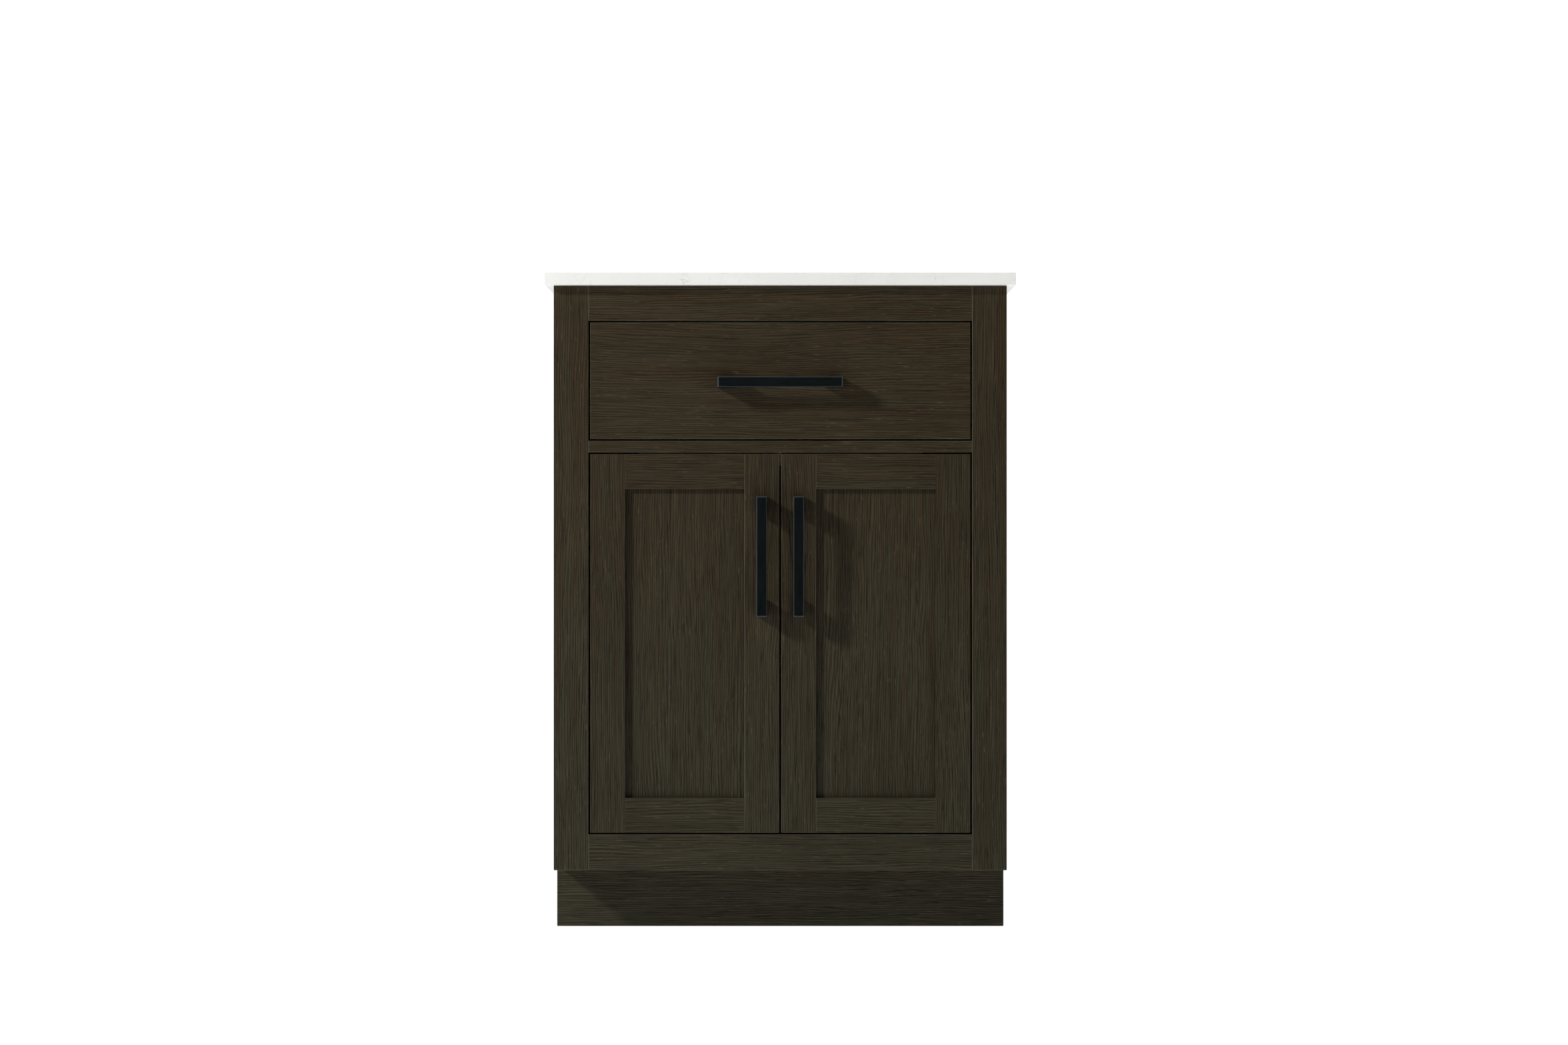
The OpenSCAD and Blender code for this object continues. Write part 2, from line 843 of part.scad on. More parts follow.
module drawer_notch_front() {
    reach = notch_x + box_t;
    color("burlywood")
    difference() {
        board([-reach, notch_y, box_z], [reach, notch_y + box_t, box_top]);
        bottom_groove(-reach - past, notch_y - past, reach + past, notch_y + box_groove);
        for (x = [-1, 1])
            bottom_groove(min(x * (reach - box_groove), x * (reach + past)), notch_y - past,
                          max(x * (reach - box_groove), x * (reach + past)),
                          notch_y + box_t + past);
    }
}

module drawer_notch_sides() {
    color("burlywood")
    for (side = [left, right])
        on_side(side)
            difference() {
                board([-notch_x - box_t, notch_y + box_t, box_z], [-notch_x, box_back_y, box_top]);
                bottom_groove(-notch_x - box_t - past, notch_y,
                              -notch_x - box_t + box_groove, box_back_y - box_t + box_groove);
            }
}

module drawer_bottom() {
    held = box_groove - box_groove_play;
    reach = box_inner_x + held;
    cut = notch_x + box_t - held;
    color("burlywood")
    difference() {
        board([-reach, box_y - held, box_bottom_z],
              [reach, box_back_y - box_t + held, box_bottom_z + box_bottom_t]);
        board([-cut, notch_y + held, box_bottom_z - past],
              [cut, box_back_y + past, box_bottom_z + box_bottom_t + past]);
    }
}

// ---- Slides ----

// A rolled channel from its web to the edge of its flanges, open there, with lips if asked
module channel(web, edge, h, lip = 0) {
    turned = web > edge;
    depth = abs(edge - web);
    translate([web, 0])
        mirror([turned ? 1 : 0, 0])
            difference() {
                translate([0, -h / 2]) square([depth, h]);
                translate([sheet_t, -h / 2 + sheet_t])
                    square([depth - sheet_t - (lip > 0 ? sheet_t : -past), h - 2 * sheet_t]);
                translate([2 * sheet_t, -h / 2 + sheet_t + lip])
                    square([depth, h - 2 * (sheet_t + lip)]);
            }
}

module at_slide(side) {
    on_side(side)
        translate([-opening_x, slide_y + slide_l, slide_z])
            rotate([90, 0, 0])
                linear_extrude(slide_l)
                    children();
}

module slide_outer(side) {
    color("gray")
    at_slide(side) channel(0, outer_reach, outer_h, outer_lip);
}

module slide_middle(side) {
    color("darkgray")
    at_slide(side) channel(middle_back, middle_reach, middle_h);
}

module slide_inner(side) {
    color("lightgray")
    at_slide(side) channel(slide_t, inner_reach, inner_h);
}

side_panel(left);  // left_side_panel
side_panel(right);  // right_side_panel
bottom_panel();
back_panel();
wall_rail();
toe_kick_board();
toe_kick_support();
frame_stile(left);  // left_frame_stile
frame_stile(right);  // right_frame_stile
frame_rail(drawer_opening_top, cabinet_h);  // top_frame_rail
frame_rail(door_opening_top, drawer_opening_z);  // middle_frame_rail
frame_rail(toe_h, floor_panel_top);  // bottom_frame_rail
corner_blocks();
hinge_block(left);  // left_hinge_block
hinge_block(right);  // right_hinge_block
slide_spacer(left);  // left_slide_spacer
slide_spacer(right);  // right_slide_spacer
door_stop_rail();
door_bumpers();
shelf();
shelf_pins();
countertop();
basin();
basin_sealant();
basin_clips();
hinge_plates(left);  // left_hinge_plates
hinge_plates(right);  // right_hinge_plates
hinge_arms(left);  // left_hinge_arms
hinge_arms(right);  // right_hinge_arms
slide_outer(left);  // left_slide_outer
slide_outer(right);  // right_slide_outer
slide_middle(left);  // left_slide_middle
slide_middle(right);  // right_slide_middle
slide_inner(left);  // left_slide_inner
slide_inner(right);  // right_slide_inner
drawer_front();
drawer_side(left);  // drawer_left_side
drawer_side(right);  // drawer_right_side
drawer_back_pieces();
drawer_notch_front();
drawer_notch_sides();
drawer_bottom();
at_drawer_pull() pull(drawer_pull_l);  // drawer_pull
at_drawer_pull() pull_screws(drawer_pull_l);  // drawer_pull_screws
door_hinge_stile(left);  // left_door_hinge_stile
door_pull_stile(left);  // left_door_pull_stile
door_rail(left, door_top - door_frame_w, door_top, door_top - door_frame_w);  // left_door_top_rail
door_rail(left, door_z, door_z + door_frame_w, door_z + door_frame_w);  // left_door_bottom_rail
door_panel(left);  // left_door_panel
at_door_pull(left) pull(door_pull_l);  // left_door_pull
at_door_pull(left) pull_screws(door_pull_l);  // left_door_pull_screws
hinge_cups(left);  // left_hinge_cups
door_hinge_stile(right);  // right_door_hinge_stile
door_pull_stile(right);  // right_door_pull_stile
door_rail(right, door_top - door_frame_w, door_top, door_top - door_frame_w);  // right_door_top_rail
door_rail(right, door_z, door_z + door_frame_w, door_z + door_frame_w);  // right_door_bottom_rail
door_panel(right);  // right_door_panel
at_door_pull(right) pull(door_pull_l);  // right_door_pull
at_door_pull(right) pull_screws(door_pull_l);  // right_door_pull_screws
hinge_cups(right);  // right_hinge_cups
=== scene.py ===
"""Bathroom vanity cabinet: finishes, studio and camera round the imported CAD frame. Metres."""
import json
import math

import bpy
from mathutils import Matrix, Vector


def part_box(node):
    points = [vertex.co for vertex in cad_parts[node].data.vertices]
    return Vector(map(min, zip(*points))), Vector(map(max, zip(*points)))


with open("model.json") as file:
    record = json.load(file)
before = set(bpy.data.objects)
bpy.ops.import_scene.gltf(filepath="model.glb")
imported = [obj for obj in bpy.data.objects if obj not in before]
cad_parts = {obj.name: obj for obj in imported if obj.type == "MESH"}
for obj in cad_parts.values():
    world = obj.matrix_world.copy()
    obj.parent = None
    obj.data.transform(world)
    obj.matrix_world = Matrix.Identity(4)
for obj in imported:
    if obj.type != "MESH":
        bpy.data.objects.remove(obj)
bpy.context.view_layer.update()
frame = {"nodes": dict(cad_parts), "record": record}
nodes = frame["nodes"]

# The plane of the face frame's front
face_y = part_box("left_frame_stile")[0].y


# ---------------------------------------------------------------- node helpers

def new_material(name):
    """An empty node material with its output and one Principled shader, joined."""
    material = bpy.data.materials.new(name)
    material.use_nodes = True
    tree = material.node_tree
    tree.nodes.clear()
    output = tree.nodes.new("ShaderNodeOutputMaterial")
    shader = tree.nodes.new("ShaderNodeBsdfPrincipled")
    tree.links.new(shader.outputs["BSDF"], output.inputs["Surface"])
    return material, tree, shader


def put(tree, socket, value):
    """Sets a socket: links it when value is another node's output, else gives it the number."""
    if isinstance(value, bpy.types.NodeSocket):
        tree.links.new(value, socket)
    else:
        socket.default_value = value


def math_node(tree, operation, a, b=0.0, clamp=False):
    node = tree.nodes.new("ShaderNodeMath")
    node.operation = operation
    node.use_clamp = clamp
    put(tree, node.inputs[0], a)
    put(tree, node.inputs[1], b)
    return node.outputs[0]


def object_place(tree):
    return tree.nodes.new("ShaderNodeTexCoord").outputs["Object"]


def object_normal(tree):
    return tree.nodes.new("ShaderNodeTexCoord").outputs["Normal"]


def split(tree, vector):
    """The x, y and z of a vector."""
    node = tree.nodes.new("ShaderNodeSeparateXYZ")
    put(tree, node.inputs[0], vector)
    return node.outputs


def mapped(tree, vector, scale, location=(0, 0, 0), rotation=(0, 0, 0)):
    node = tree.nodes.new("ShaderNodeMapping")
    put(tree, node.inputs["Vector"], vector)
    node.inputs["Location"].default_value = location
    node.inputs["Rotation"].default_value = rotation
    node.inputs["Scale"].default_value = scale
    return node.outputs["Vector"]


def noise(tree, vector, scale=1.0, detail=2.0, roughness=0.5, distortion=0.0):
    node = tree.nodes.new("ShaderNodeTexNoise")
    put(tree, node.inputs["Vector"], vector)
    node.inputs["Scale"].default_value = scale
    node.inputs["Detail"].default_value = detail
    node.inputs["Roughness"].default_value = roughness
    node.inputs["Distortion"].default_value = distortion
    return node.outputs["Fac"]


def stretch(tree, value, low, high, to_low=0.0, to_high=1.0):
    """Spreads low..high of value over to_low..to_high, held at both ends."""
    node = tree.nodes.new("ShaderNodeMapRange")
    put(tree, node.inputs["Value"], value)
    node.inputs["From Min"].default_value = low
    node.inputs["From Max"].default_value = high
    node.inputs["To Min"].default_value = to_low
    node.inputs["To Max"].default_value = to_high
    return node.outputs["Result"]


def mix_colour(tree, factor, a, b, blend="MIX"):
    node = tree.nodes.new("ShaderNodeMix")
    node.data_type = "RGBA"
    node.blend_type = blend
    put(tree, node.inputs["Factor"], factor)
    for socket, value in ((node.inputs[6], a), (node.inputs[7], b)):
        put(tree, socket, value if isinstance(value, bpy.types.NodeSocket) else (*value, 1.0))
    return node.outputs[2]


def bump(tree, shader, height, distance, strength=1.0):
    node = tree.nodes.new("ShaderNodeBump")
    node.inputs["Strength"].default_value = strength
    node.inputs["Distance"].default_value = distance
    put(tree, node.inputs["Height"], height)
    tree.links.new(node.outputs["Normal"], shader.inputs["Normal"])


def linear(r, g, b):
    """A colour given as sRGB 0-255, as the linear values that the shader takes."""
    return tuple(c / 12.92 if c <= 0.04045 else ((c + 0.055) / 1.055) ** 2.4
                 for c in (r / 255, g / 255, b / 255))


# ---------------------------------------------------------------- wood

AXES = "xyz"
GRAIN_PITCH = 0.0031             # from one dark line of the grain to the next
SWAY = 34.0                      # how far the lines wander, as a phase
WANDER = 0.016                   # how far the whole figure drifts sideways
PLY = 0.0015                     # one ply at a plywood edge
BROWN_ABOVE, OLIVE_BELOW = 0.70, 0.10      # heights between which the colour turns olive and lighter towards the bottom
FLAT_NORMAL, EASED_NORMAL = 0.985, 0.90    # largest part of a normal, on a flat and an edge

RED_DARK, RED_LIGHT = (27, 20, 10), (71, 56, 35)
OLIVE_DARK, OLIVE_LIGHT = (29, 27, 17), (72, 70, 52)
# The third colour, for the eased edges, is a painted highlight and not worn stain.
PORE_STAIN, FLECK_STAIN, PAINTED_EDGE_LIGHT = (22, 17, 11), (98, 92, 76), (104, 100, 84)
STAIN_ROUGH, STAIN_DEPTH = 0.34, 0.00016
STAIN_IOR, STAIN_SPECULAR = 1.45, 0.35
BIRCH_ROUGH, BIRCH_DEPTH = 0.42, 0.00012


def along(axis, lengthwise, crosswise):
    """Texture scales: one along the grain's axis, the other across it."""
    return tuple(lengthwise if a == axis else crosswise for a in AXES)


def board_shift(index):
    """A different stretch of the grain for each board."""
    return (0.371 * index, 1.193 * index, 0.737 * index)


def grain_place(tree, axis, index):
    """Object place with a slow sideways wander, so that the grain isn't ruled straight."""
    place = mapped(tree, object_place(tree), (1, 1, 1), board_shift(index))
    wander = tree.nodes.new("ShaderNodeTexNoise")
    put(tree, wander.inputs["Vector"], mapped(tree, place, along(axis, 2.2, 7.0)))
    wander.inputs["Scale"].default_value = 1.0
    wander.inputs["Detail"].default_value = 1.0
    shifted = tree.nodes.new("ShaderNodeVectorMath")
    shifted.operation = "MULTIPLY_ADD"
    put(tree, shifted.inputs[0], wander.outputs["Color"])
    shifted.inputs[1].default_value = (WANDER, WANDER, WANDER)
    put(tree, shifted.inputs[2], place)
    return shifted.outputs[0]


def across(tree, place, axis):
    """A distance across the grain, in metres, slanted so that it varies on every face."""
    dot = tree.nodes.new("ShaderNodeVectorMath")
    dot.operation = "DOT_PRODUCT"
    put(tree, dot.inputs[0], place)
    dot.inputs[1].default_value = along(axis, 0.0, 1.0)
    return dot.outputs["Value"]


def arris(tree):
    """One on the eased edges of a board and none on its flats: the mask for a painted
    highlight.
    """
    flat = [math_node(tree, "ABSOLUTE", part) for part in split(tree, object_normal(tree))]
    squarest = math_node(tree, "MAXIMUM", math_node(tree, "MAXIMUM", flat[0], flat[1]), flat[2])
    return stretch(tree, squarest, FLAT_NORMAL, EASED_NORMAL)


def dark_wood_colour(tree, axis, index):
    """Espresso stain over straight fine grain. Returns colour, fibre and pore values."""
    place = grain_place(tree, axis, index)
    fibre = noise(tree, mapped(tree, place, along(axis, 12, 900)), detail=3, roughness=0.6)
    sway = noise(tree, mapped(tree, place, along(axis, 5, 34)), detail=2)
    count = math_node(tree, "MULTIPLY", across(tree, place, axis), 2 * math.pi / GRAIN_PITCH)
    ripple = math_node(tree, "SINE", math_node(tree, "ADD", count,
                                               math_node(tree, "MULTIPLY", sway, SWAY)))
    line = noise(tree, mapped(tree, place, along(axis, 9, 260)), detail=2)
    streak = noise(tree, mapped(tree, place, along(axis, 4, 130)), detail=2)
    cloud = noise(tree, mapped(tree, place, along(axis, 3.0, 14)), detail=2)
    pore = stretch(tree, noise(tree, mapped(tree, place, along(axis, 30, 1300)), detail=2),
                   0.56, 0.68)
    fleck = stretch(tree, noise(tree, mapped(tree, place, along(axis, 60, 900)), detail=1),
                    0.70, 0.78)
    strong = stretch(tree, line, 0.35, 0.65, 0.10, 0.26)
    tone = math_node(tree, "ADD", stretch(tree, fibre, 0.30, 0.70, 0.26, 0.74),
                     math_node(tree, "MULTIPLY", ripple, strong))
    red = mix_colour(tree, tone, linear(*RED_DARK), linear(*RED_LIGHT))
    olive = mix_colour(tree, tone, linear(*OLIVE_DARK), linear(*OLIVE_LIGHT))
    height = split(tree, object_place(tree))[2]
    # Olive and lighter towards the bottom, by height alone.
    low = stretch(tree, height, BROWN_ABOVE, OLIVE_BELOW, 0.0, 0.60)
    hue = math_node(tree, "ADD", stretch(tree, streak, 0.40, 0.60, 0.05, 0.40), low, clamp=True)
    colour = mix_colour(tree, hue, red, olive)
    shade = stretch(tree, cloud, 0.3, 0.7, 0.93, 1.07)
    level = tree.nodes.new("ShaderNodeCombineColor")
    for socket in level.inputs:
        put(tree, socket, shade)
    colour = mix_colour(tree, 1.0, colour, level.outputs[0], "MULTIPLY")
    colour = mix_colour(tree, math_node(tree, "MULTIPLY", pore, 0.75), colour,
                        linear(*PORE_STAIN))
    colour = mix_colour(tree, math_node(tree, "MULTIPLY", fleck, 0.5), colour,
                        linear(*FLECK_STAIN))
    # Painted highlight: the eased edges are lightened in the colour as if they caught the
    # light.
    painted_highlight = math_node(tree, "MULTIPLY", arris(tree), stretch(tree, line, 0.35, 0.6, 0.35, 0.8))
    colour = mix_colour(tree, painted_highlight, colour, linear(*PAINTED_EDGE_LIGHT))
    return colour, fibre, pore


def finish_wood(tree, shader, colour, fibre, pore, rough, depth):
    """Rougher along the fibres and in the pores, which are also sunk by up to depth."""
    put(tree, shader.inputs["Base Color"], colour)
    fine = math_node(tree, "MULTIPLY", fibre, 0.14)
    put(tree, shader.inputs["Roughness"],
        math_node(tree, "ADD", fine, stretch(tree, pore, 0, 1, rough, rough + 0.12)))
    height = math_node(tree, "SUBTRACT", fibre, math_node(tree, "MULTIPLY", pore, 0.8))
    bump(tree, shader, height, depth, 0.5)


def dark_wood(name, axis, index):
    """Espresso-stained board with its grain along axis."""
    material, tree, shader = new_material(name)
    colour, fibre, pore = dark_wood_colour(tree, axis, index)
    finish_wood(tree, shader, colour, fibre, pore, STAIN_ROUGH, STAIN_DEPTH)
    shader.inputs["IOR"].default_value = STAIN_IOR
    shader.inputs["Specular IOR Level"].default_value = STAIN_SPECULAR
    return material


def birch_colour(tree, axis, index, thin_axis):
    """Clear birch plywood: pale figure on its faces, thin plies on its edges."""
    place = grain_place(tree, axis, index)
    fibre = noise(tree, mapped(tree, place, along(axis, 7, 330)), detail=4, roughness=0.6)
    figure = noise(tree, mapped(tree, place, along(axis, 1.4, 24)), detail=3, roughness=0.5,
                   distortion=0.6)
    pore = stretch(tree, noise(tree, mapped(tree, place, along(axis, 26, 900)), detail=2),
                   0.60, 0.70)
    tone = stretch(tree, math_node(tree, "ADD", math_node(tree, "MULTIPLY", fibre, 0.45),
                                   math_node(tree, "MULTIPLY", figure, 0.55)), 0.35, 0.65)
    face = mix_colour(tree, tone, linear(186, 154, 112), linear(219, 192, 152))
    face = mix_colour(tree, math_node(tree, "MULTIPLY", pore, 0.35), face, linear(150, 118, 80))
    depth = split(tree, object_place(tree))[AXES.index(thin_axis)]
    ply = math_node(tree, "MULTIPLY", depth, math.pi / PLY)
    ply = stretch(tree, math_node(tree, "SINE", ply), -0.35, 0.35)
    edge = mix_colour(tree, ply, linear(138, 104, 68), linear(205, 175, 132))
    edge = mix_colour(tree, math_node(tree, "MULTIPLY", fibre, 0.3), edge, linear(120, 90, 60))
    facing = split(tree, object_normal(tree))[AXES.index(thin_axis)]
    flat = stretch(tree, math_node(tree, "ABSOLUTE", facing), 0.45, 0.55)
    return mix_colour(tree, flat, edge, face), fibre, pore


def birch(name, axis, index, thin_axis):
    """Birch plywood board whose plies are stacked along thin_axis."""
    material, tree, shader = new_material(name)
    colour, fibre, pore = birch_colour(tree, axis, index, thin_axis)
    finish_wood(tree, shader, colour, fibre, pore, BIRCH_ROUGH, BIRCH_DEPTH)
    return material


def side_panel_wood(name, index, outward):
    """Espresso outside and on its edges, birch on the face that looks into the cabinet."""
    material, tree, shader = new_material(name)
    dark, fibre, pore = dark_wood_colour(tree, "z", index)
    pale, _, _ = birch_colour(tree, "z", index, "x")
    facing = split(tree, object_normal(tree))[0]
    inside = stretch(tree, math_node(tree, "MULTIPLY", facing, -outward), 0.45, 0.55)
    colour = mix_colour(tree, inside, dark, pale)
    finish_wood(tree, shader, colour, fibre, pore, STAIN_ROUGH, STAIN_DEPTH)
    return material


# ---------------------------------------------------------------- other finishes

# Two sizes of vein in the stone: scale, width, strength, colour and place in the noise
VEINS = ((16, 0.0040, 0.55, (164, 165, 162), 3.1),
         (42, 0.0065, 0.60, (172, 173, 170), 7.7))
COAT_DARK, COAT_LIGHT = (0.0012, 0.0032, 0.0040), (0.0022, 0.0050, 0.0060)
# The third coat colour is a painted highlight for the edges, not bare metal.
COAT_PAINTED_GLINT = (0.034, 0.042, 0.046)


def quartz(name):
    """Polished white quartz with faint clouds, fine wandering grey veins and a few specks."""
    material, tree, shader = new_material(name)
    place = object_place(tree)
    cloud = noise(tree, mapped(tree, place, (5, 5, 9)), detail=4, roughness=0.6, distortion=0.8)
    colour = mix_colour(tree, stretch(tree, cloud, 0.35, 0.7), linear(243, 243, 240),
                        linear(234, 234, 231))
    for scale, width, strength, tint, seed in VEINS:
        swirl = noise(tree, mapped(tree, place, (scale, scale, scale), (seed, seed, seed)),
                      detail=4, roughness=0.55, distortion=2.2)
        gap = math_node(tree, "ABSOLUTE", math_node(tree, "SUBTRACT", swirl, 0.5))
        vein = stretch(tree, gap, 0, width, 1, 0)
        patch = noise(tree, mapped(tree, place, (24, 24, 24), (seed, 0, seed)), detail=2)
        vein = math_node(tree, "MULTIPLY", vein, stretch(tree, patch, 0.54, 0.62, 0, strength))
        colour = mix_colour(tree, vein, colour, linear(*tint))
    speck = stretch(tree, noise(tree, mapped(tree, place, (900, 900, 900)), detail=1),
                    0.70, 0.76, 0, 0.22)
    colour = mix_colour(tree, speck, colour, linear(176, 176, 172))
    put(tree, shader.inputs["Base Color"], colour)
    put(tree, shader.inputs["Roughness"], stretch(tree, cloud, 0.3, 0.7, 0.13, 0.2))
    shader.inputs["IOR"].default_value = 1.54
    bump(tree, shader, cloud, 0.00004, 0.3)
    return material


def glaze(name):
    """White glazed ceramic with the slow ripple of a fired glaze."""
    material, tree, shader = new_material(name)
    place = object_place(tree)
    ripple = noise(tree, mapped(tree, place, (26, 26, 26)), detail=2)
    fine = noise(tree, mapped(tree, place, (380, 380, 380)), detail=2)
    colour = mix_colour(tree, stretch(tree, ripple, 0.3, 0.7), linear(243, 243, 240),
                        linear(238, 239, 237))
    put(tree, shader.inputs["Base Color"], colour)
    put(tree, shader.inputs["Roughness"], stretch(tree, fine, 0.3, 0.7, 0.06, 0.11))
    shader.inputs["IOR"].default_value = 1.52
    shader.inputs["Coat Weight"].default_value = 0.5
    shader.inputs["Coat Roughness"].default_value = 0.04
    bump(tree, shader, ripple, 0.0004, 0.25)
    return material


def black_metal(name, axis):
    """Satin black powder coat: fine orange peel, worn in streaks along its length, with a
    painted highlight on its edges.
    """
    material, tree, shader = new_material(name)
    place = object_place(tree)
    peel = noise(tree, mapped(tree, place, (1500, 1500, 1500)), detail=3, roughness=0.6)
    rub = noise(tree, mapped(tree, place, along(axis, 30, 260)), detail=3)
    colour = mix_colour(tree, stretch(tree, rub, 0.3, 0.7), COAT_DARK, COAT_LIGHT)
    # Painted highlight: the coat's edges are lightened in the colour as if they caught the
    # light.
    colour = mix_colour(tree, math_node(tree, "MULTIPLY", arris(tree), 0.85), colour,
                        COAT_PAINTED_GLINT)
    put(tree, shader.inputs["Base Color"], colour)
    put(tree, shader.inputs["Roughness"],
        math_node(tree, "ADD", stretch(tree, rub, 0.3, 0.7, 0.30, 0.38),
                  math_node(tree, "MULTIPLY", peel, 0.06)))
    shader.inputs["IOR"].default_value = 1.5
    bump(tree, shader, peel, 0.00004, 0.2)
    return material


def zinc_steel(name, axis):
    """Zinc-plated steel with faint drawing lines and a mottled passivation tint."""
    material, tree, shader = new_material(name)
    place = object_place(tree)
    lines = noise(tree, mapped(tree, place, along(axis, 20, 1600)), detail=3)
    mottle = noise(tree, mapped(tree, place, (60, 60, 60)), detail=4, roughness=0.6)
    colour = mix_colour(tree, stretch(tree, mottle, 0.35, 0.68), linear(206, 207, 206),
                        linear(182, 185, 188))
    put(tree, shader.inputs["Base Color"], colour)
    shader.inputs["Metallic"].default_value = 1.0
    put(tree, shader.inputs["Roughness"],
        math_node(tree, "ADD", stretch(tree, mottle, 0.3, 0.7, 0.24, 0.34),
                  math_node(tree, "MULTIPLY", lines, 0.1)))
    bump(tree, shader, lines, 0.00004, 0.3)
    return material


def soft_compound(name, light, dark, rough):
    """Rubber or silicone: matte, with a fine uneven skin."""
    material, tree, shader = new_material(name)
    place = object_place(tree)
    skin = noise(tree, mapped(tree, place, (700, 700, 700)), detail=3)
    slow = noise(tree, mapped(tree, place, (40, 40, 40)), detail=2)
    colour = mix_colour(tree, stretch(tree, slow, 0.3, 0.7), linear(*dark), linear(*light))
    put(tree, shader.inputs["Base Color"], colour)
    put(tree, shader.inputs["Roughness"], stretch(tree, skin, 0.3, 0.7, rough, rough + 0.15))
    bump(tree, shader, skin, 0.0001, 0.4)
    return material


# ---------------------------------------------------------------- dressing the CAD nodes

SLOTS = {s["node"]: s["material_slot"] for s in frame["record"]["subparts"]}


def extents(name):
    lo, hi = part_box(name)
    return hi - lo


def long_axis(name):
    size = extents(name)
    return AXES[max(range(3), key=lambda i: size[i])]


def thin_axis_of(name):
    size = extents(name)
    return AXES[min(range(3), key=lambda i: size[i])]


# Boards whose own shape would give the wrong grain direction, or the wrong way through
GRAIN = {"left_side_panel": "z", "right_side_panel": "z", "corner_blocks": "x",
         "drawer_back_pieces": "x", "drawer_notch_sides": "y", "drawer_bottom": "x",
         "left_slide_spacer": "y", "right_slide_spacer": "y"}
THIN = {"corner_blocks": "z", "drawer_back_pieces": "y", "drawer_notch_sides": "x"}


def dress(obj, material):
    obj.data.materials.clear()
    obj.data.materials.append(material)


SAME_POINT = 1e-6                # CAD corners closer than this are one vertex
SHARP_ANGLE = 38                 # degrees: edges sharper than this are eased
EASED_SEGMENTS = 2


def soften(obj, width):
    """Eases the sharp edges of a CAD node. The node's own mesh stays as it is."""
    weld = obj.modifiers.new("weld", "WELD")
    weld.merge_threshold = SAME_POINT
    ease = obj.modifiers.new("ease", "BEVEL")
    ease.width = width
    ease.segments = EASED_SEGMENTS
    ease.limit_method = "ANGLE"
    ease.angle_limit = math.radians(SHARP_ANGLE)
    ease.use_clamp_overlap = True
    ease.harden_normals = True
    ease.miter_outer = "MITER_ARC"


def dress_all():
    for index, name in enumerate(sorted(nodes)):
        obj, slot = nodes[name], SLOTS[name]
        if name.endswith("_side_panel"):
            outward = -1 if name.startswith("left") else 1
            dress(obj, side_panel_wood(f"espresso_{name}", index, outward))
        elif slot == "espresso_wood":
            dress(obj, dark_wood(f"espresso_{name}", GRAIN.get(name, long_axis(name)), index))
        elif slot == "birch_wood":
            thin = THIN.get(name, thin_axis_of(name))
            dress(obj, birch(f"birch_{name}", GRAIN.get(name, long_axis(name)), index, thin))
        elif slot == "zinc_steel":
            dress(obj, zinc_steel(f"zinc_{name}", long_axis(name)))
        elif slot == "black_metal":
            dress(obj, black_metal(f"black_{name}", long_axis(name)))
        else:
            dress(obj, PLAIN[slot])


PLAIN = {"quartz": quartz("quartz"), "ceramic": glaze("ceramic"),
         "rubber": soft_compound("rubber", (52, 52, 52), (38, 38, 38), 0.6),
         "sealant": soft_compound("sealant", (226, 226, 222), (214, 214, 209), 0.5)}
dress_all()

EASED = {"espresso_wood": 0.0007, "birch_wood": 0.0005, "quartz": 0.0012, "black_metal": 0.0005,
         "ceramic": 0.0025}
SQUARE = "wall_rail"  # left sharp: easing it draws faint lines between its two screw holes
for name, obj in nodes.items():
    if SLOTS[name] in EASED and name != SQUARE:
        soften(obj, EASED[SLOTS[name]])


# ---------------------------------------------------------------- studio

ROOM_LEVEL = 0.02                # brightness of the dim room in front of the object
BEHIND_LEVEL = 0.95              # and of the white beside and behind it
DARK_BEFORE, WHITE_FROM = -0.22, 0.02      # y of the directions between which one turns
WHITE_LEVEL = 1.2                # the backdrop, as the camera sees it
FLOOR_GLOW = 1.0
FLOOR_RINGS, FLOOR_SIDES, FLOOR_REACH = 6, 48, 14.0
FLOOR_ROUGH = 0.9
KEY_LEFT, KEY_FORWARD, KEY_HEIGHT = -3.05, 1.98, 2.40
KEY_SIZE, KEY_WATTS = (0.40, 0.40), 120
AIM_HEIGHT = 0.5
CAMERA_RIGHT, CAMERA_BACK, CAMERA_HEIGHT = 0.0049, 4.5, 0.5318
LENS, SENSOR, FAR_CLIP = 79.65, 36.0, 100.0


def area_light(name, place, aim, size, watts):
    data = bpy.data.lights.new(name, "AREA")
    data.shape = "RECTANGLE"
    data.size, data.size_y = size
    data.energy = watts
    light = bpy.data.objects.new(name, data)
    bpy.context.scene.collection.objects.link(light)
    light.location = place
    light.rotation_euler = (Vector(aim) - Vector(place)).to_track_quat("-Z", "Y").to_euler()
    return light


def behind_factor(tree):
    """BEHIND_LEVEL for every direction beside and behind the object, none in front of it."""
    direction = tree.nodes.new("ShaderNodeTexCoord").outputs["Generated"]
    return stretch(tree, split(tree, direction)[1], DARK_BEFORE, WHITE_FROM, 0.0, BEHIND_LEVEL)


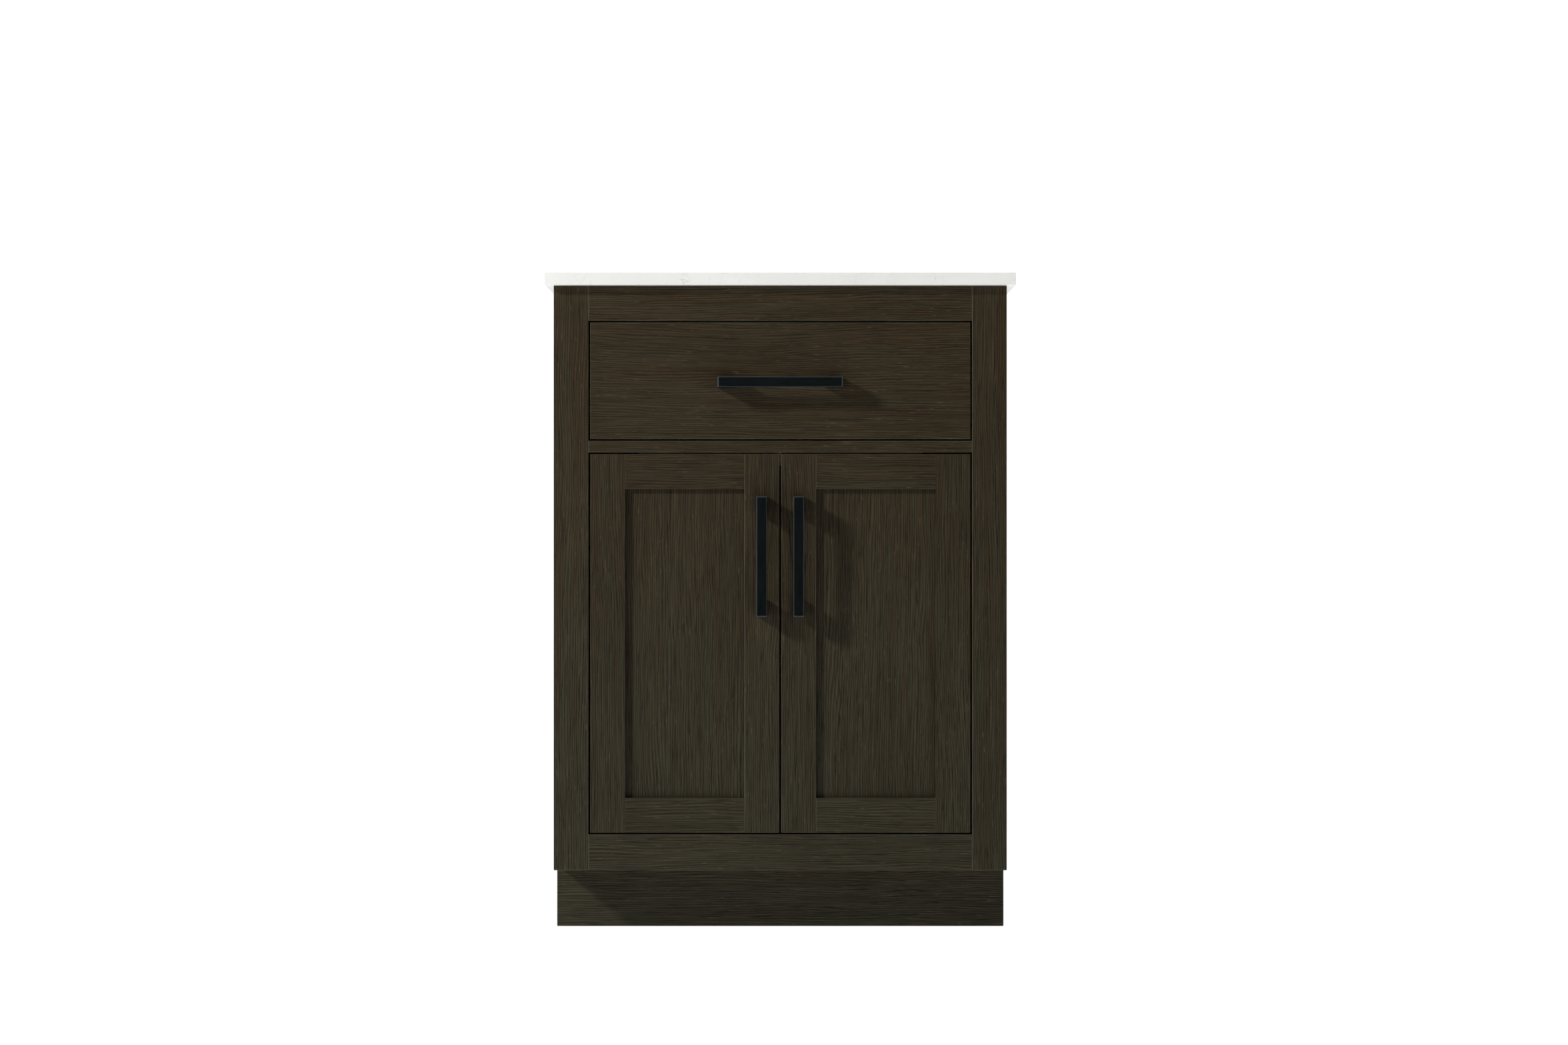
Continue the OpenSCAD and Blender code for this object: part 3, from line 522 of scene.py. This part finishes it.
def surroundings():
    """White behind everything, and a dim room for bounced light and reflections."""
    world = bpy.data.worlds.new("studio")
    bpy.context.scene.world = world
    world.use_nodes = True
    tree = world.node_tree
    tree.nodes.clear()
    output = tree.nodes.new("ShaderNodeOutputWorld")
    mix = tree.nodes.new("ShaderNodeMixShader")
    room = tree.nodes.new("ShaderNodeBackground")
    white = tree.nodes.new("ShaderNodeBackground")
    room.inputs["Color"].default_value = (1, 1, 1, 1)
    put(tree, room.inputs["Strength"], math_node(tree, "ADD", behind_factor(tree), ROOM_LEVEL))
    white.inputs["Color"].default_value = (1, 1, 1, 1)
    white.inputs["Strength"].default_value = WHITE_LEVEL
    seen = tree.nodes.new("ShaderNodeLightPath").outputs["Is Camera Ray"]
    tree.links.new(seen, mix.inputs[0])
    tree.links.new(room.outputs[0], mix.inputs[1])
    tree.links.new(white.outputs[0], mix.inputs[2])
    tree.links.new(mix.outputs[0], output.inputs["Surface"])


def studio():
    """The surroundings, and one key light from the upper left."""
    surroundings()
    front = (0, face_y, AIM_HEIGHT)
    area_light("key", (KEY_LEFT, face_y - KEY_FORWARD, KEY_HEIGHT), front, KEY_SIZE, KEY_WATTS)


def floor():
    """A wide white floor, lit from within so that it stays as white as its surroundings."""
    mesh = bpy.data.meshes.new("floor")
    rings, sides, reach = FLOOR_RINGS, FLOOR_SIDES, FLOOR_REACH
    verts = [(0.0, 0.0, 0.0)]
    for ring in range(1, rings + 1):
        for side in range(sides):
            turn = 2 * math.pi * side / sides
            radius = reach * (ring / rings) ** 2
            verts.append((radius * math.cos(turn), radius * math.sin(turn), 0.0))
    faces = [(0, 1 + side, 1 + (side + 1) % sides) for side in range(sides)]
    for ring in range(rings - 1):
        low, high = 1 + ring * sides, 1 + (ring + 1) * sides
        faces += [(low + side, high + side, high + (side + 1) % sides, low + (side + 1) % sides)
                  for side in range(sides)]
    mesh.from_pydata(verts, [], faces)
    obj = bpy.data.objects.new("floor", mesh)
    bpy.context.scene.collection.objects.link(obj)
    material, tree, shader = new_material("floor")
    tone = noise(tree, mapped(tree, object_place(tree), (0.7, 0.7, 0.7)), detail=2)
    put(tree, shader.inputs["Base Color"],
        mix_colour(tree, tone, (0.30, 0.30, 0.30), (0.32, 0.32, 0.32)))
    shader.inputs["Roughness"].default_value = FLOOR_ROUGH
    shader.inputs["Specular IOR Level"].default_value = 0.0
    shader.inputs["Emission Color"].default_value = (1, 1, 1, 1)
    shader.inputs["Emission Strength"].default_value = FLOOR_GLOW
    mesh.materials.append(material)
    obj.visible_glossy = False


def camera():
    """Level, square to the front, just right of the middle, at mid height."""
    data = bpy.data.cameras.new("camera")
    data.sensor_width = SENSOR
    data.lens = LENS
    data.clip_end = FAR_CLIP
    cam = bpy.data.objects.new("camera", data)
    bpy.context.scene.collection.objects.link(cam)
    cam.location = (CAMERA_RIGHT, face_y - CAMERA_BACK, CAMERA_HEIGHT)
    cam.rotation_euler = (math.pi / 2, 0, 0)
    bpy.context.scene.camera = cam


studio()
floor()
camera()
bpy.context.scene.view_settings.view_transform = "Standard"
